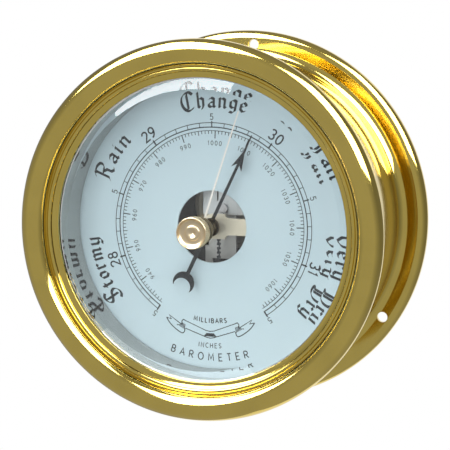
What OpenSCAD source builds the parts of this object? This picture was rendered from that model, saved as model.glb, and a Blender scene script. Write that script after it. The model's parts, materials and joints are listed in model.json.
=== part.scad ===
// Bulkhead aneroid barometer in a spun brass case with a screw-on bezel.
// The pieces are drawn on a local axis that runs from the wall (0) out to the reader:
// x is to the right of the dial, y is up the dial and z is the height above the wall.
// face_on() turns that axis so that the dial faces -Y and the dial's top is +Z.

/* [Case] */
// Diameter of the wall flange
flange_d = 152; // [150:0.5:184]
// Outside diameter of the drum
drum_d = 130; // [126:0.5:134]
// Thickness of the spun brass sheet
sheet_t = 1.6; // [1.2:0.1:2]
// Height of the flange's front face above the wall
flange_h = 4.5; // [3.5:0.1:6]
// Radius of the cove between drum and flange
cove_r = 4; // [3:0.1:5]
// Height of the dial face above the wall
dial_h = 42; // [41:0.5:52]

/* [Wall screws] */
// Diameter of a wall screw hole
screw_hole_d = 4.2; // [4:0.1:5.6]
// Number of wall screw holes
screw_holes = 3; // [3:1:4]
// Diameter of the circle through the wall screw holes
screw_circle_d = 140.6; // [139.8:0.2:141]
// Angle of the first wall screw hole from the dial's top, clockwise
screw_turn = 3.2; // [-10:0.5:10]

/* [Bezel and glass] */
// Diameter of the glass that shows inside the bezel's lip
sight_d = 116; // [112:0.5:118]
// Radius of the bezel's rounded roll
roll_r = 5; // [4.6:0.1:5.6]
// Outside diameter of the bezel
bezel_d = 145; // [143:0.2:148]
// Thickness of the glass
glass_t = 3.6; // [2.8:0.1:4]
// Width of the glass's bevel inside the bezel
bevel_w = 4.4; // [3.6:0.1:5.2]
// Height of the glass's back above the dial
glass_gap = 14.6; // [14:0.1:18]
// Length of the bezel's skirt over the drum
skirt_l = 25.5; // [12:0.5:27]
// Inside diameter of the polished reflector ring at its lower edge
reflector_d = 111.6; // [110:0.2:112]
// Height of the reflector's lower edge above the dial
reflector_gap = 0.4; // [0.3:0.1:1]
// Screw travel of the bezel in one turn
thread_pitch = 1.5; // [1:0.1:2]

/* [Dial and hands] */
// Diameter of the dial plate
dial_d = 120; // [116:0.5:124]
// Thickness of the dial plate
dial_t = 0.8; // [0.6:0.1:1.2]
// Diameter of the round window in the dial
window_d = 28.2; // [24:0.2:30]
// Reach of the pointer from the centre to its tip
pointer_reach = 39.8; // [36:0.2:44]
// Reach of the pointer's crescent from the centre
crescent_reach = 24.4; // [22:0.2:28]
// Height of the pointer above the dial
pointer_gap = 2.8; // [2:0.1:4]
// Angle of the pointer from the dial's top, clockwise
pointer_turn = 25.6; // [0:0.1:60]
// Reach of the set hand
set_reach = 47.8; // [42:0.2:50]
// Angle of the set hand from the dial's top, clockwise
set_turn = 18.2; // [0:0.1:60]
// Diameter of the setting knob
knob_d = 12.2; // [10:0.1:14]
// Length of the setting knob
knob_l = 5.3; // [4.6:0.1:8]

/* [Movement] */
// Diameter of the movement's base plate
base_d = 84; // [80:0.5:90]
// Diameter of the aneroid capsule
capsule_d = 35; // [28:0.5:36]
// Thickness of the aneroid capsule over its corrugations
capsule_t = 7; // [6:0.1:7.4]
// Height of the capsule's centre above the pointer's axis
capsule_up = 6.2; // [6:0.1:7.4]
// Width of the mainspring
spring_w = 17; // [14:0.2:18]
// Distance of the mainspring's middle to the right of the pointer's axis
spring_x = 1.5; // [0:0.1:2]
// Thickness of the mainspring
spring_t = 1.2; // [0.9:0.1:1.4]
// Distance of the rocker bar below the pointer's axis
rocker_down = 24; // [23:0.2:29]
// Length of the rocker's chain arm
chain_arm_l = 12; // [10:0.1:15]
// Length of the rocker's crank
crank_l = 4.5; // [3.5:0.1:5]
// Pitch of the chain's links
link_pitch = 1.7; // [1.4:0.1:2]
// Width of the chain
chain_w = 0.8; // [0.7:0.1:1]
// Distance of the arbor cage's pillar from the pointer's axis
pillar_x = 26; // [24:0.5:28]
// Width of the cage's upper arm
arm_w = 6.5; // [5:0.1:8]

/* [Fits] */
// Clearance of a turning or sliding fit, on the radius
run_gap = 0.05; // [0.03:0.01:0.08]
// Clearance between loose pieces
loose_gap = 0.3; // [0.2:0.05:0.4]

/* [Hidden] */
$fn = 96;
brass = [0.80, 0.66, 0.30];
pale_brass = [0.84, 0.78, 0.58];
steel = [0.62, 0.63, 0.64];
dark_steel = [0.30, 0.31, 0.33];
black = [0.08, 0.08, 0.09];

// Case: heights above the wall and radii
flange_r = flange_d / 2;
drum_r = drum_d / 2;
drum_in_r = drum_r - sheet_t;
rim_round_r = flange_h - 0.8;
back_t = 1.4;
ledge_w = 3.6;
ledge_t = 1.6;
back_h = 3;
ledge_h = back_h + back_t;
back_r = drum_in_r - loose_gap;
back_screw_pcd_r = drum_in_r - ledge_w / 2;
back_screw_r = 1;
adjust_hole_r = 3.8;

// Stack of heights above the dial
glass_back_h = dial_h + glass_gap;
glass_rim_t = 1.7;
glass_front_h = glass_back_h + glass_rim_t;
glass_face_h = glass_back_h + glass_t;
glass_r = sight_d / 2 + 3;
lip_t = 0.8;
gasket_t = 0.4;
reflector_t = 0.8;
reflector_flange_h = glass_back_h - gasket_t - reflector_t;
reflector_in_r = reflector_d / 2;
reflector_top_r = reflector_in_r + 1.4;
pocket_r = glass_r + loose_gap;
keeper_t = 1;
keeper_w = 1.8;
keeper_h = reflector_flange_h - keeper_t;
drum_front_h = keeper_h - loose_gap - 2.5;

// Bezel section
roll_c_r = bezel_d / 2 - roll_r;
roll_c_h = glass_front_h + 2.3;
bezel_back_h = glass_front_h - 3.6;
skirt_out_r = drum_r + 2;
rear_rim_r = skirt_out_r + 2.7;
skirt_front_h = drum_front_h + loose_gap;
skirt_back_h = bezel_back_h - skirt_l;
thread_turns = 4;
thread_l = thread_turns * thread_pitch;
slope_w = 2.2;
slope_h = 0.8;
slope_top_h = glass_front_h + lip_t + slope_h;
bead_r = 1;

// Dial and hands
dial_r = dial_d / 2;
dial_back_h = dial_h - dial_t;
hand_t = 0.5;
hand_boss_t = 0.6;
crescent_r = 4.4;
crescent_in_r = 3.64;
crescent_shift = 1.94;
hand_h = dial_h + pointer_gap;
hub_r = 3.6;
hub_h = 3;
hub_base_h = dial_h + 1;
set_hand_t = 0.4;
set_hub_r = 5.2;
set_hub_t = 1.8;
washer_t = 0.5;
spindle_r = 1.5;
glass_hole_r = spindle_r + run_gap;
set_hub_h = glass_back_h - washer_t - set_hub_t;
set_hand_h = set_hub_h - set_hand_t;
spindle_tail = 1;
knob_grip = 2.9;
knob_base_h = glass_face_h + washer_t;
knob_teeth = 44;
knob_tooth_h = 0.35;

// Movement heights above the wall
spacer_l = 4.6;
base_h = ledge_h + spacer_l;
base_t = 2;
base_top_h = base_h + base_t;
boss_l = 2;
capsule_h = base_top_h + boss_l;
capsule_top_h = capsule_h + capsule_t;
capsule_rim_t = 0.8;
diaphragm_t = 0.35;
ripple_count = 5;
ripple_h = 0.7;
capsule_right = 1.4;
capsule_boss_r = 3.6;
spring_rise = 11.4;
spring_h = capsule_top_h + spring_rise;
spring_top_h = spring_h + spring_t;
post_r = 1.4;
nut_r = 2;
nut_t = 1.4;
nut_grip = 0.7;
nut_slot_t = 0.56;
spring_root_y = 26;
spring_end_y = capsule_up - 2.4;
bridge_w = 20;
bridge_l = 7;
bridge_leg_w = 5;
bridge_top_t = 8;
clamp_t = 1.6;
flex_y = 20;
slit_left = 1.2;
slit_w = 0.6;
lever_x = -5;
lever_w = 3;
lever_t = 1;
lever_h = spring_h - lever_t;
lever_plate_l = 24;
lever_plate_w = 11.4;
lever_plate_x = 0.7;
lever_edge = 1.6;
lever_fix_y = capsule_up + 1;
lever_end_y = -rocker_down - crank_l;
rocker_r = 1;
rocker_half_l = 12;
rocker_pivot_r = 0.6;
rocker_pivot_l = 2.2;
post_w = 4;
drum_core_r = 0.6;
chain_x = drum_core_r + run_gap / 2 + chain_w / 2;
chain_t = 0.25;
chain_top_y = 1.2;
chain_links = floor((rocker_down + chain_top_y) / link_pitch);
link_pin_r = 0.4;
link_hole_r = 0.8;
link_eye_r = 1.5;
link_t = 0.6;
lower_arm_h = spring_top_h + 1;
lower_arm_t = 1;
upper_arm_t = 1.4;
cage_gap = 4.4;
spacer_h = lower_arm_h + lower_arm_t;
chain_lift = 1.9;
chain_h = spacer_h + chain_lift;
rocker_h = chain_h - chain_arm_l;
upper_arm_h = spacer_h + cage_gap;
pillar_r = 3.5;
arm_boss_r = 4.9;
lower_boss_r = 3.2;
cage_screw_r = 1.5;
arbor_r = 0.6;
neck_r = arbor_r + 0.6;
pivot_r = 0.4;
collet_r = 1.6;
collet_t = 0.7;
drum_flange_r = 1.9;
drum_flange_t = 0.25;
hair_turns = 4;
hair_in_r = collet_r + 0.05;
hair_out_r = 5.4;
hair_w = 0.22;
hair_t = 0.4;
hair_steps = 18;
hair_h = spacer_h + 0.45;
foot_r = 2.5;
foot_pcd_r = 38;
foot_turn = 60;
foot_screw_r = 1.2;
movement_pcd_r = 30;
movement_screw_r = 1.5;
head_t = 1.4;
head_scale = 1.8;
slot_w = 0.7;

module face_on() {
    rotate([90, 0, 0]) children();
}

// A round bar or disc standing on height h
module disc(h, t, r) {
    translate([0, 0, h]) cylinder(h = t, r = r);
}

// A ring standing on height h
module ring(h, t, r_out, r_in) {
    translate([0, 0, h]) difference() {
        cylinder(h = t, r = r_out);
        translate([0, 0, -1]) cylinder(h = t + 2, r = r_in);
    }
}

// Copies at equal angles on a circle, counted clockwise from the dial's top
module around(count, r, first) {
    for (i = [0 : count - 1])
        rotate([0, 0, 90 - first - i * 360 / count]) translate([r, 0, 0]) children();
}

// A slotted screw whose head stands on height h and whose shank runs the other way
module screw(h, shank_r, shank_l, dir) {
    head_r = shank_r * head_scale;
    translate([0, 0, h]) mirror([0, 0, dir < 0 ? 1 : 0]) difference() {
        union() {
            cylinder(h = head_t, r = head_r);
            translate([0, 0, -shank_l]) cylinder(h = shank_l + head_t / 2, r = shank_r);
        }
        translate([-head_r - 1, -slot_w / 2, head_t / 2]) cube([2 * head_r + 2, slot_w, head_t]);
    }
}

// Section of the spun drum, cove, flange and inner ledge, as radius and height
module case_section() {
    cove_x = drum_r + cove_r;
    rim_x = flange_r - rim_round_r;
    translate([drum_in_r, flange_h]) square([sheet_t, drum_front_h - flange_h]);
    difference() {
        translate([drum_in_r, flange_h - sheet_t]) square([cove_x - drum_in_r, cove_r + sheet_t]);
        translate([cove_x, flange_h + cove_r]) circle(r = cove_r);
    }
    translate([cove_x - 0.5, flange_h - sheet_t]) square([rim_x - cove_x + 0.5, sheet_t]);
    translate([rim_x, flange_h - rim_round_r]) intersection() {
        difference() {
            circle(r = rim_round_r);
            circle(r = rim_round_r - sheet_t);
        }
        square([rim_round_r, rim_round_r]);
    }
    translate([flange_r - sheet_t, 0]) square([sheet_t, flange_h - rim_round_r]);
    translate([drum_in_r - ledge_w, ledge_h]) square([ledge_w + sheet_t / 2, ledge_t]);
}

module case_body() {
    color(brass) face_on() difference() {
        rotate_extrude() case_section();
        around(screw_holes, screw_circle_d / 2, screw_turn)
            translate([0, 0, flange_h - sheet_t - 1]) cylinder(h = sheet_t + 2, r = screw_hole_d / 2);
        around(3, back_screw_pcd_r, 30)
            translate([0, 0, ledge_h - 1]) cylinder(h = ledge_t + 2, r = back_screw_r + run_gap);
    }
}

module back_plate() {
    color(brass) face_on() difference() {
        disc(back_h, back_t, back_r);
        around(3, back_screw_pcd_r, 30)
            translate([0, 0, back_h - 1]) cylinder(h = back_t + 2, r = back_screw_r + run_gap);
        around(3, movement_pcd_r, 0)
            translate([0, 0, back_h - 1]) cylinder(h = back_t + 2, r = movement_screw_r + run_gap);
        translate([capsule_right, capsule_up, back_h - 1]) cylinder(h = back_t + 2, r = adjust_hole_r);
    }
}

module back_plate_screws() {
    color(brass) face_on() around(3, back_screw_pcd_r, 30)
        screw(back_h, back_screw_r, back_t + ledge_t, -1);
}

module movement_spacers() {
    color(steel) face_on() around(3, movement_pcd_r, 0)
        ring(ledge_h, spacer_l, 2 * movement_screw_r, movement_screw_r + run_gap);
}

module movement_screws() {
    color(steel) face_on() around(3, movement_pcd_r, 0)
        screw(back_h, movement_screw_r, back_t + spacer_l + base_t - 0.2, -1);
}

module base_plate() {
    color(dark_steel) face_on() difference() {
        disc(base_h, base_t, base_d / 2);
        around(3, movement_pcd_r, 0)
            translate([0, 0, base_h - 1]) cylinder(h = base_t + 2, r = movement_screw_r + run_gap);
        around(3, foot_pcd_r, foot_turn)
            translate([0, 0, base_h - 1]) cylinder(h = base_t + 2, r = foot_screw_r + run_gap);
        for (at = [[capsule_right, capsule_up], [pillar_x, 0]])
            translate([at[0], at[1], base_h - 1]) cylinder(h = base_t + 2, r = cage_screw_r + run_gap);
    }
}

module adjusting_screw() {
    color(brass) face_on() translate([capsule_right, capsule_up, 0])
        screw(base_h - run_gap, cage_screw_r, base_t + boss_l, -1);
}

// One corrugated diaphragm, from its rim in to its boss
module diaphragm_section() {
    rim_r = capsule_d / 2;
    flat_w = 1.2;
    pitch = (rim_r - flat_w - capsule_boss_r) / ripple_count;
    half_t = capsule_t / 2;
    lift = half_t - ripple_h - diaphragm_t;
    upper = [for (i = [0 : 2 * ripple_count]) [
        rim_r - flat_w - i * pitch / 2,
        (i == 0 ? capsule_rim_t / 2 : lift + diaphragm_t) + (i % 2 == 1 ? ripple_h : 0)
    ]];
    lower = [for (i = [2 * ripple_count : -1 : 0]) [
        rim_r - flat_w - i * pitch / 2,
        (i == 0 ? 0 : lift) + (i % 2 == 1 ? ripple_h : 0)
    ]];
    polygon(concat(
        [[rim_r, 0], [rim_r, capsule_rim_t / 2]],
        upper,
        [[0, lift + diaphragm_t], [0, lift]],
        lower
    ));
}

module capsule_lower() {
    color(pale_brass) face_on() translate([capsule_right, capsule_up, capsule_h + capsule_t / 2]) {
        mirror([0, 0, 1]) rotate_extrude() diaphragm_section();
        translate([0, 0, -capsule_t / 2 - boss_l]) difference() {
            cylinder(h = boss_l + ripple_h + diaphragm_t / 2, r = capsule_boss_r);
            translate([0, 0, -1]) cylinder(h = boss_l + 1 + loose_gap, r = cage_screw_r + run_gap);
        }
    }
}

module capsule_upper() {
    color(pale_brass) face_on() translate([capsule_right, capsule_up, capsule_h + capsule_t / 2])
        rotate_extrude() diaphragm_section();
}

module capsule_post() {
    color(steel) face_on() translate([capsule_right, capsule_up, 0]) {
        disc(capsule_top_h - ripple_h, 1.2, capsule_boss_r);
        disc(capsule_top_h - ripple_h, spring_top_h + nut_grip - capsule_top_h + ripple_h, post_r);
    }
}

module capsule_nut() {
    color(steel) face_on() translate([capsule_right, capsule_up, spring_top_h]) difference() {
        cylinder(h = nut_t, r = nut_r);
        translate([0, 0, -1]) cylinder(h = 1 + nut_grip + run_gap, r = post_r);
        translate([-nut_r - 1, -slot_w / 2, nut_t - nut_slot_t]) cube([2 * nut_r + 2, slot_w, nut_t]);
    }
}

// Copies at the two screws that hold the mainspring's root
module at_root_screws() {
    for (side = [-1, 1])
        translate([spring_x + side * spring_w / 3, spring_root_y + bridge_l / 2, 0]) children();
}

// Copies at the two screws that hold the lever to the mainspring's free end
module at_lever_screws() {
    for (side = [-1, 1])
        translate([lever_plate_x + side * (lever_plate_w / 2 - lever_edge), lever_fix_y, 0]) children();
}

module spring_bridge() {
    leg_h = spring_h - base_top_h;
    color(dark_steel) face_on() difference() {
        translate([spring_x - bridge_w / 2, spring_root_y, base_top_h]) difference() {
            cube([bridge_w, bridge_l, leg_h]);
            translate([bridge_leg_w, -1, -1])
                cube([bridge_w - 2 * bridge_leg_w, bridge_l + 2, leg_h - bridge_top_t + 1]);
        }
        at_root_screws() translate([0, 0, spring_h - 4]) cylinder(h = 5, r = 1 + run_gap);
    }
}

module mainspring() {
    leaf_l = spring_root_y + bridge_l - spring_end_y;
    slit_y = capsule_up + nut_r + 1;
    color(steel) face_on() difference() {
        translate([spring_x - spring_w / 2, spring_end_y, spring_h]) cube([spring_w, leaf_l, spring_t]);
        translate([capsule_right, capsule_up, spring_h - 1])
            cylinder(h = spring_t + 2, r = post_r + run_gap);
        translate([-slit_left, slit_y, spring_h - 1]) cube([slit_w, flex_y - slit_y, spring_t + 2]);
        at_root_screws() translate([0, 0, spring_h - 1]) cylinder(h = spring_t + 2, r = 1 + run_gap);
        at_lever_screws() translate([0, 0, spring_h - 1]) cylinder(h = spring_t, r = 0.7 + run_gap);
    }
}

module spring_clamp() {
    color(dark_steel) face_on() difference() {
        translate([spring_x - spring_w / 2, spring_root_y, spring_top_h])
            cube([spring_w, bridge_l, clamp_t]);
        at_root_screws() translate([0, 0, spring_top_h - 1]) cylinder(h = clamp_t + 2, r = 1 + run_gap);
    }
}

module spring_clamp_screws() {
    color(steel) face_on() at_root_screws() screw(spring_top_h + clamp_t, 1, clamp_t + spring_t + 3, 1);
}

// The lever is a plate under the mainspring's free end with an arm down to the link's pivot
module main_lever() {
    plate_end_y = capsule_up + 4 - lever_plate_l;
    color(steel) face_on() {
        difference() {
            union() {
                translate([lever_plate_x - lever_plate_w / 2, plate_end_y, lever_h])
                    cube([lever_plate_w, lever_plate_l, lever_t]);
                translate([lever_x - lever_w / 2, lever_end_y, lever_h])
                    cube([lever_w, plate_end_y - lever_end_y + 5, lever_t]);
                translate([lever_x, lever_end_y, lever_h]) cylinder(h = lever_t, r = lever_w / 2);
            }
            translate([capsule_right, capsule_up, lever_h - 1])
                cylinder(h = lever_t + 2, r = post_r + run_gap);
            at_lever_screws() translate([0, 0, lever_h - 1]) cylinder(h = lever_t + 2, r = 0.7 + run_gap);
        }
        translate([lever_x, lever_end_y, lever_h + lever_t / 2]) rotate([0, 90, 0])
            cylinder(h = lever_w / 2 + 0.4 + link_t, r = link_pin_r);
    }
}

module lever_screws() {
    color(steel) face_on() at_lever_screws() screw(lever_h, 0.7, lever_t + spring_t - 1.1, -1);
}

// The link hangs from the lever's pin down to the crank's pin
module link_rod() {
    drop = lever_h + lever_t / 2 - rocker_h;
    color(pale_brass) face_on()
        translate([lever_x + lever_w / 2 + 0.2, lever_end_y, rocker_h]) rotate([90, 0, 90]) difference() {
            linear_extrude(height = link_t) union() {
                circle(r = link_eye_r);
                translate([0, drop]) circle(r = 1);
                translate([-0.5, 0]) square([1, drop]);
            }
            translate([0, 0, -1]) cylinder(h = link_t + 2, r = link_hole_r);
            translate([0, drop, -1]) cylinder(h = link_t + 2, r = link_pin_r + run_gap);
        }
}

// The rocker bar with the crank for the link and the tall arm for the chain
module rocker_bar() {
    arm_l = chain_arm_l - 1.5 * chain_t - loose_gap;
    crank_x = lever_x + lever_w / 2 + 0.2 + link_t + 0.3;
    color(brass) face_on() translate([0, -rocker_down, rocker_h]) {
        translate([-rocker_half_l, 0, 0]) rotate([0, 90, 0]) cylinder(h = 2 * rocker_half_l, r = rocker_r);
        for (side = [-1, 1]) rotate([0, side * 90, 0])
            cylinder(h = rocker_half_l + rocker_pivot_l, r = rocker_pivot_r);
        translate([chain_x, 0, 0]) cylinder(h = arm_l, r = 0.6);
        translate([crank_x, -crank_l, -0.6]) cube([1.2, crank_l, 1.2]);
        translate([crank_x - link_t - 0.6, -crank_l, 0]) rotate([0, 90, 0])
            cylinder(h = link_t + 1.2, r = link_pin_r);
    }
}

module rocker_posts() {
    post_x = rocker_half_l + 0.2;
    color(dark_steel) face_on() for (side = [-1, 1])
        translate([side * (post_x + post_w / 2), -rocker_down, base_top_h]) difference() {
            translate([-post_w / 2, -post_w / 2, 0]) cube([post_w, post_w, rocker_h - base_top_h + 2.4]);
            translate([-post_w, 0, rocker_h - base_top_h]) rotate([0, 90, 0])
                cylinder(h = 2 * post_w, r = rocker_pivot_r + run_gap);
            translate([side * (rocker_pivot_l + 0.2 - post_w / 2), 0, rocker_h - base_top_h])
                rotate([0, side * 90, 0]) cylinder(h = post_w, r = 1 + run_gap);
        }
}

module pivot_screws() {
    seat_x = rocker_half_l + rocker_pivot_l + 0.4;
    tail = rocker_half_l + 0.2 + post_w - seat_x;
    color(steel) face_on() for (side = [-1, 1])
        translate([side * (seat_x + tail), -rocker_down, rocker_h]) rotate([0, side * 90, 0])
            screw(0, 1, tail, 1);
}

// One chain plate between two rivets
module chain_plate() {
    eye_r = chain_w / 2;
    linear_extrude(height = chain_t) union() {
        circle(r = eye_r, $fn = 24);
        translate([0, link_pitch]) circle(r = eye_r, $fn = 24);
        translate([-eye_r / 2, 0]) square([eye_r, link_pitch]);
    }
}

// Links with one plate in the middle alternate with links that have a plate on each side
module chain() {
    color(dark_steel) face_on() translate([chain_x, chain_top_y, chain_h]) mirror([0, 1, 0])
        for (i = [0 : chain_links - 1]) translate([0, i * link_pitch, 0]) {
            if (i % 2 == 0) translate([0, 0, -chain_t / 2]) chain_plate();
            else for (side = [-1, 1]) translate([0, 0, side * chain_t - chain_t / 2]) chain_plate();
            translate([0, 0, -1.5 * chain_t]) cylinder(h = 3 * chain_t, r = chain_w / 4, $fn = 24);
        }
}

module arbor_pillar() {
    color(brass) face_on() translate([pillar_x, 0, 0])
        ring(base_top_h, lower_arm_h - base_top_h, pillar_r, cage_screw_r + run_gap);
}

// Outline of a cage arm: a boss on the arbor's axis and a strip out to the pillar
module arm_outline(width, boss_r) {
    fillet = boss_r - width / 2;
    difference() {
        union() {
            circle(r = boss_r);
            translate([pillar_x, 0]) circle(r = pillar_r + 0.5);
            translate([0, -width / 2]) square([pillar_x, width]);
            translate([0, -boss_r]) square([boss_r + fillet, 2 * boss_r]);
        }
        for (side = [-1, 1]) translate([boss_r + fillet, side * (width / 2 + fillet)]) circle(r = fillet);
    }
}

module cage_arm(h, t, width, boss_r, bore_r) {
    translate([0, 0, h]) difference() {
        linear_extrude(height = t) arm_outline(width, boss_r);
        translate([0, 0, -1]) cylinder(h = t + 2, r = bore_r);
        translate([pillar_x, 0, -1]) cylinder(h = t + 2, r = cage_screw_r + run_gap);
    }
}

module lower_arm() {
    color(brass) face_on() cage_arm(lower_arm_h, lower_arm_t, arm_w - 2, lower_boss_r, pivot_r + run_gap);
}

module upper_arm() {
    color(pale_brass) face_on() cage_arm(upper_arm_h, upper_arm_t, arm_w, arm_boss_r, arbor_r + run_gap);
}

module cage_spacer() {
    color(brass) face_on() translate([pillar_x, 0, 0])
        ring(spacer_h, cage_gap, pillar_r - 0.5, cage_screw_r + run_gap);
}

module cage_screw() {
    color(steel) face_on() translate([pillar_x, 0, 0])
        screw(base_h, cage_screw_r, upper_arm_h + upper_arm_t - base_h, -1);
}

// The pointer's arbor: pivot, hairspring collet, chain drum between two flanges, and the long stem
module arbor() {
    flange_gap = 1.5 * chain_t + 0.15;
    color(steel) face_on() {
        disc(lower_arm_h + 0.1, lower_arm_t + 0.3, pivot_r);
        disc(spacer_h + 0.2, hub_base_h + hub_h - spacer_h - 0.2, arbor_r);
        disc(spacer_h + 0.3, collet_t, collet_r);
        disc(chain_h - flange_gap, 2 * flange_gap, drum_core_r);
        disc(chain_h - flange_gap - drum_flange_t, drum_flange_t, drum_flange_r);
        disc(chain_h + flange_gap, drum_flange_t, drum_flange_r);
    }
}

function spiral(r0, r1, turns, steps, shift) = [
    for (i = [0 : turns * steps])
        let (a = i * 360 / steps, r = r0 + (r1 - r0) * i / (turns * steps) + shift)
        [r * cos(a), r * sin(a)]
];

module hairspring() {
    outer = spiral(hair_in_r, hair_out_r, hair_turns, hair_steps, hair_w);
    inner = spiral(hair_in_r, hair_out_r, hair_turns, hair_steps, 0);
    color(steel) face_on() translate([0, 0, hair_h]) linear_extrude(height = hair_t)
        polygon(concat(outer, [for (i = [len(inner) - 1 : -1 : 0]) inner[i]]));
}

module hairspring_stud() {
    color(brass) face_on() translate([hair_out_r + hair_w + 0.7, 0, 0]) disc(spacer_h, 1.8, 0.6);
}

module dial() {
    color([0.80, 0.87, 0.90]) face_on() ring(dial_back_h, dial_t, dial_r, window_d / 2);
}

module dial_feet() {
    color(brass) face_on() around(3, foot_pcd_r, foot_turn) translate([0, 0, base_top_h]) difference() {
        cylinder(h = dial_back_h - base_top_h, r = foot_r);
        translate([0, 0, -1]) cylinder(h = 7, r = foot_screw_r + run_gap);
    }
}

module dial_foot_screws() {
    color(steel) face_on() around(3, foot_pcd_r, foot_turn) screw(base_h, foot_screw_r, base_t + 5, -1);
}

// Outline of the pointer's fine tip, swept arrowhead and stem
module needle_outline() {
    head_tip = pointer_reach - 7.5;
    head_base = head_tip - 6.7;
    polygon([
        [0.15, pointer_reach], [0.4, head_tip], [2.2, head_base], [0.5, head_base + 1.9],
        [0.65, hub_r / 2], [-0.65, hub_r / 2],
        [-0.5, head_base + 1.9], [-2.2, head_base], [-0.4, head_tip], [-0.15, pointer_reach]
    ]);
}

// The needle, its boss, and the tail with a crescent that opens outwards
module pointer() {
    tail_w = 1.44;
    tail_l = crescent_reach - crescent_r + 0.6;
    color(black) face_on() rotate([0, 0, -pointer_turn]) translate([0, 0, hand_h]) {
        linear_extrude(height = hand_t) needle_outline();
        ring(0, hand_boss_t, hub_r - 1, neck_r);
        translate([-tail_w / 2, -tail_l, 0]) cube([tail_w, tail_l - hub_r / 2, hand_t]);
        translate([0, -crescent_reach, 0]) difference() {
            cylinder(h = hand_t, r = crescent_r);
            translate([0, -crescent_shift, -1]) cylinder(h = hand_t + 2, r = crescent_in_r);
        }
    }
}

module pointer_hub() {
    upper_h = hand_h + hand_boss_t;
    color(black) face_on() difference() {
        union() {
            disc(hub_base_h, hand_h - hub_base_h, hub_r);
            disc(hand_h, hand_boss_t, neck_r);
            disc(upper_h, hub_base_h + hub_h - upper_h, hub_r - 1);
        }
        translate([0, 0, hub_base_h - 1]) cylinder(h = hub_h + 2, r = arbor_r);
    }
}

// The reflector's mirror wall, which flares slightly, and the flange that carries the glass
module reflector_section() {
    top_h = reflector_flange_h + reflector_t;
    foot_h = dial_h + reflector_gap;
    polygon([
        [reflector_in_r, foot_h],
        [reflector_top_r, top_h],
        [glass_r, top_h],
        [glass_r, reflector_flange_h],
        [reflector_top_r + reflector_t, reflector_flange_h],
        [reflector_in_r + reflector_t, foot_h]
    ]);
}

module reflector_ring() {
    color([0.82, 0.84, 0.86]) face_on() rotate_extrude() reflector_section();
}

module glass_gasket() {
    color(black) face_on() ring(glass_back_h - gasket_t, gasket_t, glass_r, sight_d / 2 + 0.6);
}

module glass() {
    color([0.85, 0.93, 0.95, 0.3]) face_on() rotate_extrude() polygon([
        [glass_hole_r, glass_back_h],
        [glass_r, glass_back_h],
        [glass_r, glass_front_h],
        [sight_d / 2, glass_front_h],
        [sight_d / 2 - bevel_w, glass_face_h],
        [glass_hole_r, glass_face_h]
    ]);
}

module retaining_ring() {
    color(brass) face_on() ring(keeper_h, keeper_t, pocket_r - run_gap, pocket_r - keeper_w);
}

// The bezel's section without its roll and bead: lip over the glass, slope, rear rim and skirt.
// The skirt fits the drum closely over the length of the thread and is relieved behind it.
module bezel_section() {
    lip_r = sight_d / 2;
    polygon([
        [lip_r, glass_front_h],
        [lip_r, glass_front_h + lip_t],
        [lip_r + slope_w * 0.55, glass_front_h + lip_t + slope_h * 0.3],
        [lip_r + slope_w, slope_top_h],
        [roll_c_r, slope_top_h + 0.6],
        [rear_rim_r, roll_c_h - 1],
        [rear_rim_r, bezel_back_h],
        [skirt_out_r, bezel_back_h],
        [skirt_out_r, skirt_back_h],
        [drum_r + loose_gap, skirt_back_h],
        [drum_r + loose_gap, skirt_front_h - thread_l],
        [drum_r + run_gap, skirt_front_h - thread_l],
        [drum_r + run_gap, skirt_front_h],
        [pocket_r, skirt_front_h],
        [pocket_r, glass_front_h]
    ]);
}

// A round ring whose seam is turned away from the others
module round_ring(c_r, h, r, seam) {
    rotate([0, 0, seam]) rotate_extrude() translate([c_r, h]) circle(r = r);
}

module bezel_ring() {
    color(brass) face_on() {
        rotate_extrude() bezel_section();
        round_ring(roll_c_r, roll_c_h, roll_r, 37);
        round_ring(sight_d / 2 + slope_w + bead_r, slope_top_h + 0.4, bead_r, 71);
    }
}

module set_spindle() {
    spindle_l = knob_base_h + knob_grip - set_hand_h + spindle_tail;
    color(brass) face_on() disc(set_hand_h - spindle_tail, spindle_l, spindle_r);
}

module set_hand() {
    root_w = 0.4;
    tip_w = 0.2;
    color(pale_brass) face_on() rotate([0, 0, -set_turn]) translate([0, 0, set_hand_h]) difference() {
        linear_extrude(height = set_hand_t) union() {
            circle(r = spindle_r + 1.6);
            polygon([[-root_w, 0], [root_w, 0], [tip_w, set_reach], [-tip_w, set_reach]]);
        }
        translate([0, 0, -1]) cylinder(h = set_hand_t + 2, r = spindle_r);
    }
}

module set_hand_hub() {
    color(pale_brass) face_on() ring(set_hub_h, set_hub_t, set_hub_r, spindle_r);
}

module glass_washers() {
    color(black) face_on() {
        ring(glass_back_h - washer_t, washer_t, set_hub_r - 0.4, spindle_r + run_gap);
        ring(glass_face_h, washer_t, knob_d / 2 - 1.2, spindle_r + run_gap);
    }
}

// Outline of the knob's straight knurl
function knurl(r, teeth, depth) = [
    for (i = [0 : 2 * teeth - 1])
        let (a = i * 180 / teeth, q = r - (i % 2) * depth) [q * cos(a), q * sin(a)]
];

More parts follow.
